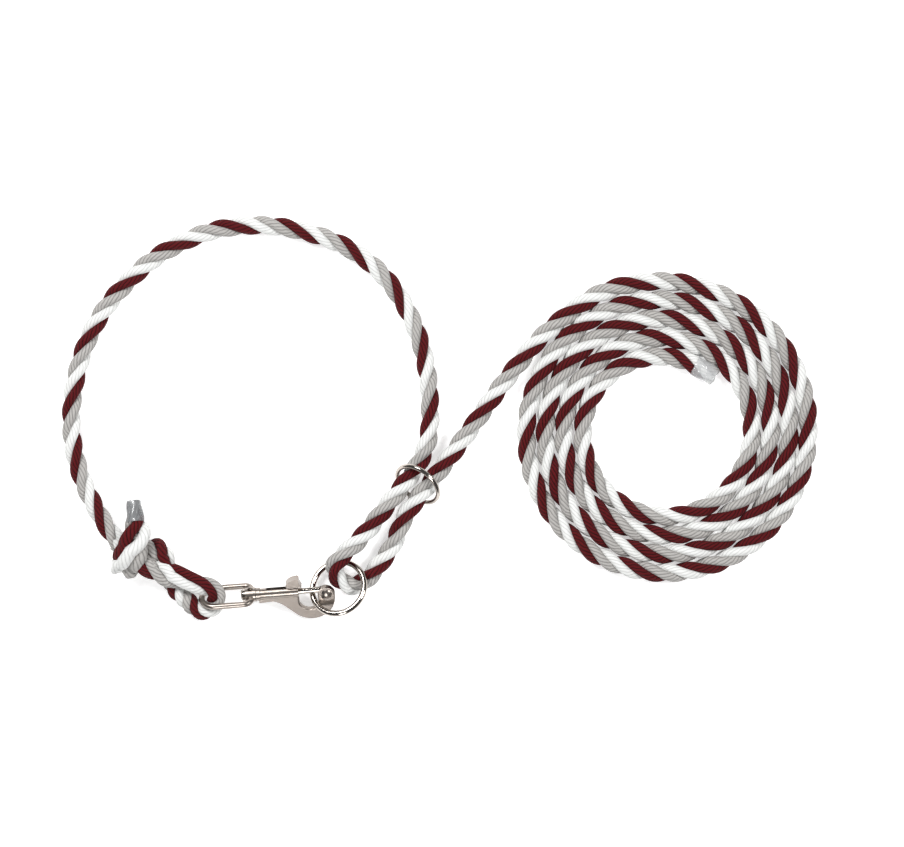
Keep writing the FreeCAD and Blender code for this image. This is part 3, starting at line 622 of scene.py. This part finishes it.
@dataclass
class StrandBundle:
    """Three strands laid round each other along a route.

    Attributes:
        name: Name of the piece.
        route: Control points, in metres.
        marks: How the strands lie at places along the route, in its order.
        step: Distance between two rings of a strand.
        facets: Sides of a strand.
        strand_radius: Radius of one strand.
        lay_radius: Distance of a strand's middle from the rope's middle.
        pitch: Length of rope in which a strand goes round once.
        opening: Share by which the bundle widens at a spread of 1.
        flattening: Share by which it lowers at a spread of 1.
        swelling: Share by which its strands thicken at a spread of 1.
        least_spread: Spread under which the bundle stays round.
        smoothed_points: Number of points over which the level direction is evened out.
    """

    name: str
    route: Sequence[Point]
    marks: Sequence[LayMark]
    step: float = 1.9 * MM
    facets: int = 16
    strand_radius: float = 3.05 * MM
    lay_radius: float = 3.32 * MM
    pitch: float = 40.6 * MM
    opening: float = 1.9
    flattening: float = 0.5
    swelling: float = 0.7
    least_spread: float = 0.001
    smoothed_points: int = 9

    def __post_init__(self) -> None:
        """Reads the line from the route's spline, and the lay from the marks."""
        self.line = route_line(f"{self.name}_route", self.route, self.step)
        self.reached = run_lengths(self.line)
        self.lay = self.marked()

    def marked(self) -> StrandLay:
        """Works out how the strands lie, from the marks in their order along the line.

        Returns:
            The lay at every point of the line.
        """
        along, across, other = carried_frames(self.line)
        stations: list[float] = []
        fixed: list[tuple[float, float]] = []
        first = 0
        for mark in self.marks:
            away = np.linalg.norm(self.line[first:] - np.array(mark.near) * MM, axis=1)
            first += int(np.argmin(away))
            stations.append(self.reached[first])
            if mark.angle is not None:
                up = unit(np.array(UP) - along[first][2] * along[first])
                right = np.cross(along[first], up)
                turn = math.radians(mark.angle)
                pointing = up * math.cos(turn) + right * math.sin(turn)
                angle = math.atan2(float(pointing @ other[first]), float(pointing @ across[first]))
                fixed.append((self.reached[first], angle))
        spread = np.interp(self.reached, stations, [mark.spread for mark in self.marks])
        size = np.interp(self.reached, stations, [mark.size for mark in self.marks])
        rate = math.tau / self.pitch * (1.0 - spread)
        turned = np.concatenate([[0.0], np.cumsum((rate[1:] + rate[:-1]) / 2 * np.diff(self.reached))])
        return StrandLay(turned + self.correction(turned, fixed), spread, size)

    def correction(self, turned: np.ndarray, fixed: list[tuple[float, float]]) -> np.ndarray:
        """Angle to add along the line so that the strands pass the fixed places as marked.

        Args:
            turned: Angle of the evenly laid rope at every point.
            fixed: Length along the line and wanted angle, for each fixed place.

        Returns:
            The angle to add at every point.
        """
        at, extra = [], []
        for station, angle in fixed:
            wanted = angle - float(np.interp(station, self.reached, turned))
            before = extra[-1] if extra else 0.0
            wanted += math.tau * round((before - wanted) / math.tau)
            at.append(station)
            extra.append(wanted)
        return np.interp(self.reached, at, extra)

    def strand_line(self, strand: Strand) -> np.ndarray:
        """Works out the centre line of one strand.

        Args:
            strand: Which strand.

        Returns:
            One point for each point of the rope's line.
        """
        _, across, other = carried_frames(self.line)
        level, raised = self.level_frames()
        spread = self.lay.spread
        reach = self.lay_radius * self.lay.size
        angle = self.lay.turned + strand.turn
        round_lay = across * (np.cos(angle) * reach)[:, None] + other * (np.sin(angle) * reach)[:, None]
        sideways = (round_lay * level).sum(axis=1) * (1.0 + self.opening * spread)
        upwards = (round_lay * raised).sum(axis=1) * (1.0 - self.flattening * spread)
        flat_lay = level * sideways[:, None] + raised * upwards[:, None]
        opened = spread[:, None] > self.least_spread
        return self.line + np.where(opened, flat_lay, round_lay)

    def level_frames(self) -> tuple[np.ndarray, np.ndarray]:
        """Works out the two directions across the line along which the bundle opens and flattens.

        Returns:
            The level direction, and the one square to it, at every point of the line.
        """
        along = unit(np.gradient(self.line, axis=0))
        even = np.ones(self.smoothed_points) / self.smoothed_points
        smooth = np.stack([np.convolve(along[:, axis], even, mode="same") for axis in range(3)], axis=1)
        never_zero = 1e-9
        level = unit(np.cross(smooth, UP) + never_zero)
        for number in range(1, len(level)):
            if float(level[number] @ level[number - 1]) < 0:
                level[number:] *= -1
        level = unit(level - (level * along).sum(axis=1)[:, None] * along)
        return level, np.cross(level, along)

    def build(self, finishes: Finishes) -> bpy.types.Object:
        """Builds the strands as one mesh.

        Args:
            finishes: The lead's materials.

        Returns:
            The mesh object.
        """
        vertices, faces, slots, uvs = [], [], [], []
        turns = np.linspace(0.0, math.tau, self.facets, endpoint=False)
        width = 2 * self.strand_radius
        for strand in Strand:
            centre = self.strand_line(strand)
            _, across, other = carried_frames(centre)
            radius = self.strand_radius * self.lay.size * (1.0 + self.swelling * self.lay.spread)
            reached = run_lengths(centre) / width
            start = len(vertices)
            for number, place in enumerate(centre):
                for turn in turns:
                    offset = across[number] * math.cos(turn) + other[number] * math.sin(turn)
                    vertices.append(tuple(place + offset * radius[number]))
            for number in range(len(centre) - 1):
                for facet in range(self.facets):
                    following = (facet + 1) % self.facets
                    low = start + number * self.facets
                    high = low + self.facets
                    faces.append((low + facet, low + following, high + following, high + facet))
                    slots.append(strand.value)
                    near, far = facet / self.facets, (facet + 1) / self.facets
                    here, ahead = reached[number], reached[number + 1]
                    uvs.extend(((here, near), (here, far), (ahead, far), (ahead, near)))
            last = start + (len(centre) - 1) * self.facets
            first_cap = tuple(reversed(range(start, start + self.facets)))
            last_cap = tuple(range(last, last + self.facets))
            for cap, place in ((first_cap, 0.0), (last_cap, reached[-1])):
                faces.append(cap)
                slots.append(strand.value)
                uvs.extend((place, 0.5) for _ in cap)
        mesh = bpy.data.meshes.new(self.name)
        mesh.from_pydata(vertices, [], faces)
        mesh.uv_layers.new(name="UVMap").data.foreach_set("uv", np.array(uvs, np.float32).ravel())
        for strand in Strand:
            mesh.materials.append(finishes.strands[strand])
        mesh.polygons.foreach_set("material_index", slots)
        log.info("%s: %.0f mm of rope, %d faces", self.name, self.reached[-1] / MM, len(mesh.polygons))
        return show_mesh(mesh)


@dataclass
class ShrinkSleeve:
    """Thin tube shrunk on the end of a bundle of strands.

    Attributes:
        name: Name of the piece.
        length: Length of the tube on the rope.
        tip_radius: Radius at the rope's cut end.
        base_radius: Radius at the tube's other end.
        end: Which end of the bundle it is on.
        wall: Thickness of the tube.
        overhang: Length of the tube past the cut end.
        lobe_height: Share by which the tube swells over each strand.
        taper_curve: Power of the change from the tip's radius to the base's.
        rings: Rings of points along the tube.
        facets: Sides of the tube.
    """

    name: str
    length: float
    tip_radius: float
    base_radius: float
    end: SleeveEnd
    wall: float = 0.4 * MM
    overhang: float = 0.6 * MM
    lobe_height: float = 0.05
    taper_curve: float = 0.8
    rings: int = 24
    facets: int = 48

    def build(self, rope: StrandBundle, finish: bpy.types.Material) -> bpy.types.Object:
        """Builds the tube round the rope's end.

        Args:
            rope: The strands that it is shrunk on.
            finish: The tube's material.

        Returns:
            The mesh object.
        """
        whole = rope.reached[-1]
        inwards = np.linspace(-self.overhang, self.length, self.rings)
        stations = inwards if self.end is SleeveEnd.FIRST else whole - inwards
        tip, step_in = (0, 1) if self.end is SleeveEnd.FIRST else (-1, -2)
        outward = unit(rope.line[tip] - rope.line[step_in])
        centre = np.stack(
            [np.interp(stations, rope.reached, rope.line[:, axis]) for axis in range(3)], axis=1
        )
        centre[0] = rope.line[tip] + outward * self.overhang
        _, across, other = carried_frames(centre)
        angle = np.interp(stations, rope.reached, rope.lay.turned)
        share = np.clip(inwards / self.length, 0.0, 1.0)
        radius = self.tip_radius + (self.base_radius - self.tip_radius) * share**self.taper_curve
        turns = np.linspace(0.0, math.tau, self.facets, endpoint=False)
        vertices, faces = [], []
        for inner in (0.0, self.wall):
            for number, place in enumerate(centre):
                for turn in turns:
                    lobed = 1.0 + self.lobe_height * math.cos(len(Strand) * (turn - angle[number]))
                    reach = radius[number] * lobed - inner
                    offset = across[number] * math.cos(turn) + other[number] * math.sin(turn)
                    vertices.append(tuple(place + offset * reach))
        layer = self.rings * self.facets
        for number in range(self.rings - 1):
            for facet in range(self.facets):
                following = (facet + 1) % self.facets
                low, high = number * self.facets, (number + 1) * self.facets
                outside = (low + facet, low + following, high + following, high + facet)
                faces.append(outside)
                faces.append(tuple(layer + corner for corner in reversed(outside)))
        for low, is_tip in ((0, True), ((self.rings - 1) * self.facets, False)):
            for facet in range(self.facets):
                following = (facet + 1) % self.facets
                rim = (low + facet, low + following, layer + low + following, layer + low + facet)
                faces.append(tuple(reversed(rim)) if is_tip else rim)
        mesh = bpy.data.meshes.new(self.name)
        mesh.from_pydata(vertices, [], faces)
        mesh.materials.append(finish)
        log.info("%s: %.0f mm long", self.name, self.length / MM)
        return show_mesh(mesh)


@dataclass
class FlatCoil:
    """The free end, wound flat from the outside in; millimetres, degrees and turns."""

    centre_x: float = 225.5
    centre_y: float = 72.5
    height: float = 6.4
    first_radius: float = 101.3
    pitch: float = 12.47
    turns: float = 4.19
    start_angle: float = 135.0
    points_per_turn: int = 24
    end_heading: float = -31.0
    end_length: float = 17.0
    end_height: float = 6.9

    def route(self) -> list[Point]:
        """Places the control points of the turns and of the straight end.

        Returns:
            The points, in millimetres.
        """
        half_step = math.pi / self.points_per_turn
        stand_off = 2.0 / (1.0 + math.cos(half_step))
        count = round(self.turns * self.points_per_turn)
        points = []
        for number in range(1, count + 1):
            turn = self.turns * number / count
            angle = math.radians(self.start_angle) - math.tau * turn
            reach = (self.first_radius - self.pitch * turn) * stand_off
            x = self.centre_x + reach * math.cos(angle)
            y = self.centre_y + reach * math.sin(angle)
            points.append((x, y, self.height))
        heading = math.radians(self.end_heading)
        x, y, _ = points.pop()
        end_x = x + self.end_length * math.cos(heading)
        end_y = y + self.end_length * math.sin(heading)
        return [*points, (x, y, self.end_height), (end_x, end_y, self.end_height)]


def in_metres(route: Sequence[Point]) -> list[Point]:
    """Changes millimetres to metres.

    Args:
        route: Points in millimetres.

    Returns:
        The same points in metres.
    """
    return [(x * MM, y * MM, z * MM) for x, y, z in route]


@dataclass
class LeadRope:
    """The rope from the knot round the neck loop, through both rings and into the coil.

    Attributes:
        length: Length of this rope, in metres; not used.
        pitch: Length of rope in which a strand goes round once.
    """

    length: float = 2.845
    pitch: float = 41.8 * MM

    def build(self, finishes: Finishes) -> None:
        """Args:
            finishes: The lead's materials.
        """
        inside_knot = STANDING_PART[-2:]
        route = in_metres([*inside_knot, *NECK_LOOP, *RING_BIGHT, *LEAD, *FlatCoil().route()])
        marks = (
            LayMark((-147.2, 17.5, 9.0), angle=0.0),
            LayMark((-161.7, 55.1, 6.4), angle=0.0),
            LayMark((-129.4, 170.6, 6.4), angle=0.0),
            LayMark((-15.2, 204.3, 6.4), angle=0.0),
            LayMark((66.0, 125.1, 6.4), angle=0.0),
            LayMark((35.3, 11.9, 13.6), angle=0.0),
            LayMark((56.0, 16.0, 13.4), angle=0.0),
            LayMark((135.3, 121.2, 6.4), angle=0.0),
            LayMark((206.9, 169.8, 6.4), angle=0.0),
            LayMark((314.6, 119.1, 6.4), angle=0.0),
            LayMark((288.2, 2.4, 6.4), angle=0.0),
            LayMark((172.1, -1.8, 6.4), angle=0.0),
            LayMark((306.2, 99.7, 6.4), angle=0.0),
            LayMark((149.2, 82.3, 6.4), angle=0.0),
            LayMark((295.2, 89.9, 6.4), angle=0.0),
            LayMark((163.1, 88.5, 6.4), angle=0.0),
            LayMark((282.6, 85.7, 6.4), angle=0.0),
            LayMark((177.0, 88.5, 6.4), angle=0.0),
            LayMark((204.8, 117.7, 6.4), angle=0.0),
            LayMark((240.6, 120.6, 6.4), angle=0.0),
        )
        rope = StrandBundle("lead_rope", route, marks, pitch=self.pitch)
        made = rope.build(finishes)
        sleeve = ShrinkSleeve(
            "handling_end_sleeve",
            length=15.0 * MM,
            tip_radius=6.5 * MM,
            base_radius=6.75 * MM,
            end=SleeveEnd.LAST,
        ).build(rope, finishes.clear_sleeve)
        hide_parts("rope_neck_loop", "rope_ring_bight", "rope_lead", "rope_coil", "rope_end")
        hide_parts("end_sleeve")


@dataclass
class KnottedEye:
    """The short end of the rope: the tail, the stopper knot and the eye that holds the snap."""

    step: float = 1.3 * MM
    facets: int = 24

    def build(self, finishes: Finishes) -> None:
        """Builds the knot and eye in one run of strands, and the tail's sleeve.

        Args:
            finishes: The lead's materials.
        """
        route = in_metres(
            [*TAIL, *KNOT_BAND, *KNOT_UNDER, *KNOT_SIDE, *SNAP_EYE, *STANDING_PART, *NECK_LOOP[:1]]
        )
        marks = (
            LayMark((-122.9, 26.5, 16.0), size=0.72),
            LayMark((-121.6, 16.0, 18.0), angle=-80.0, size=0.92),
            LayMark((-121.0, 5.0, 21.0), angle=50.0, spread=0.4),
            LayMark((-124.0, -6.0, 21.5), angle=125.0, spread=0.62),
            LayMark((-128.5, -13.0, 16.0), angle=130.0, spread=0.66),
            LayMark((-128.0, -14.0, 9.0), spread=0.5),
            LayMark((-119.0, -6.5, 6.4), spread=0.1),
            LayMark((-103.4, -10.0, 13.0), angle=0.0, spread=0.25),
            LayMark((-101.0, -17.0, 10.5)),
            LayMark((-98.5, -29.0, 6.4), angle=0.0),
            LayMark((-91.0, -36.5, 6.4), angle=180.0),
            LayMark((-84.0, -42.5, 6.4), angle=0.0),
            LayMark((-68.4, -37.0, 10.0), angle=-58.0),
            LayMark((-86.0, -27.0, 15.0), angle=80.0, spread=0.1),
            LayMark((-97.0, -22.5, 16.0), angle=115.0, spread=0.3),
            LayMark((-109.0, -18.5, 15.0), angle=235.0, spread=0.1),
        )
        knot = StrandBundle("knotted_eye", route, marks, step=self.step, facets=self.facets)
        made = knot.build(finishes)
        sleeve = ShrinkSleeve(
            "tail_end_sleeve",
            length=14.2 * MM,
            tip_radius=4.8 * MM,
            base_radius=6.3 * MM,
            end=SleeveEnd.FIRST,
        ).build(knot, finishes.cloudy_sleeve)
        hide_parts("rope_tail", "stopper_knot", "rope_snap_eye")
        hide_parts("tail_sleeve")


# ---------------------------------------------------------------- metal fittings


@dataclass
class Fittings:
    """The metal pieces, shown as the CAD has them."""

    cast_pieces: Sequence[str] = ("swivel_eye", "snap_body", "thumb_lug")
    polished_pieces: Sequence[str] = ("swivel_rivet", "snap_bolt", "tie_ring", "keeper_ring")
    spring_pieces: Sequence[str] = ("bolt_spring",)

    def dress(self, finishes: Finishes) -> None:
        """Gives every metal piece its material.

        Args:
            finishes: The lead's materials.
        """
        for material, names, slot in (
            (finishes.cast, self.cast_pieces, "cast_nickel"),
            (finishes.polished, self.polished_pieces, "polished_nickel"),
            (finishes.spring, self.spring_pieces, "spring_steel"),
        ):
            for name in names:
                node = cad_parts[name]
                node.data.materials.clear()
                node.data.materials.append(material)
                log.info("%s: dressed in %s", name, material.name)


# ---------------------------------------------------------------- surroundings


@dataclass(frozen=True)
class SoftLight:
    """A square soft light.

    Attributes:
        name: Name of the light.
        place: Where it hangs, in metres.
        side: Side of the square, in metres.
        power: Watts.
    """

    name: str
    place: Point
    side: float
    power: float


@dataclass
class Studio:
    """Pale floor, soft lights and a camera that looks straight down."""

    camera_x: float = 0.0865
    camera_y: float = 0.0779
    camera_height: float = 3.3207
    lens: float = 200.0
    sensor_width: float = 36.0
    sight: float = 20.0
    floor_reach: float = 3.0
    paper_grey: float = 0.93
    paper_roughness: float = 0.9
    paper_glow: float = 0.5
    sky: Colour = (0.9, 0.92, 0.95)
    sky_strength: float = 0.12
    lights: Sequence[SoftLight] = (
        SoftLight("key_light", (-0.8, 1.1, 1.5), side=0.7, power=34.0),
        SoftLight("fill_light", (1.2, 0.3, 1.5), side=0.6, power=20.0),
        SoftLight("front_light", (-0.3, -1.3, 1.3), side=0.5, power=13.0),
    )

    def paper(self) -> bpy.types.Material:
        """Makes the floor's white paper, which glows a little so that it stays white.

        Returns:
            The material.
        """
        made = bpy.data.materials.new("white_paper")
        made.use_nodes = True
        shader = made.node_tree.nodes["Principled BSDF"]
        shader.inputs["Base Color"].default_value = (self.paper_grey, self.paper_grey, self.paper_grey, 1)
        shader.inputs["Roughness"].default_value = self.paper_roughness
        shader.inputs["Specular IOR Level"].default_value = 0.0
        shader.inputs["Emission Color"].default_value = (1, 1, 1, 1)
        shader.inputs["Emission Strength"].default_value = self.paper_glow
        return made

    def lay_floor(self) -> None:
        """Lays the floor."""
        reach = self.floor_reach
        corners = [(-reach, -reach, 0), (reach, -reach, 0), (reach, reach, 0), (-reach, reach, 0)]
        mesh = bpy.data.meshes.new("floor")
        mesh.from_pydata(corners, [], [(0, 1, 2, 3)])
        mesh.materials.append(self.paper())
        floor = bpy.data.objects.new("floor", mesh)
        bpy.context.scene.collection.objects.link(floor)

    def hang(self, soft_light: SoftLight) -> None:
        """Hangs a light that faces the middle of the picture.

        Args:
            soft_light: The light.
        """
        light = bpy.data.lights.new(soft_light.name, "AREA")
        light.size = soft_light.side
        light.energy = soft_light.power
        holder = bpy.data.objects.new(soft_light.name, light)
        holder.location = soft_light.place
        aim = Vector((self.camera_x, self.camera_y, 0)) - holder.location
        holder.rotation_euler = aim.to_track_quat("-Z", "Y").to_euler()
        bpy.context.scene.collection.objects.link(holder)

    def set_sky(self) -> None:
        """Sets the even light from all round."""
        world = bpy.data.worlds.new("studio")
        world.use_nodes = True
        background = world.node_tree.nodes["Background"]
        background.inputs["Color"].default_value = (*self.sky, 1)
        background.inputs["Strength"].default_value = self.sky_strength
        bpy.context.scene.world = world

    def set_camera(self) -> None:
        """Hangs the camera over the lead."""
        lens = bpy.data.cameras.new("camera")
        lens.lens = self.lens
        lens.sensor_width = self.sensor_width
        lens.clip_end = self.sight
        camera = bpy.data.objects.new("camera", lens)
        camera.location = (self.camera_x, self.camera_y, self.camera_height)
        bpy.context.scene.collection.objects.link(camera)
        bpy.context.scene.camera = camera
        bpy.context.scene.view_settings.view_transform = "Standard"

    def build(self) -> None:
        """Sets up the floor, lights, sky and camera."""
        self.lay_floor()
        for soft_light in self.lights:
            self.hang(soft_light)
        self.set_sky()
        self.set_camera()


def main() -> None:
    """Builds the lead's pieces in order, then the studio."""
    logging.basicConfig(level=logging.INFO, format="%(name)s: %(message)s")
    finishes = Finishes()
    LeadRope().build(finishes)
    KnottedEye().build(finishes)
    Fittings().dress(finishes)
    Studio().build()


if __name__ == "__main__":
    main()
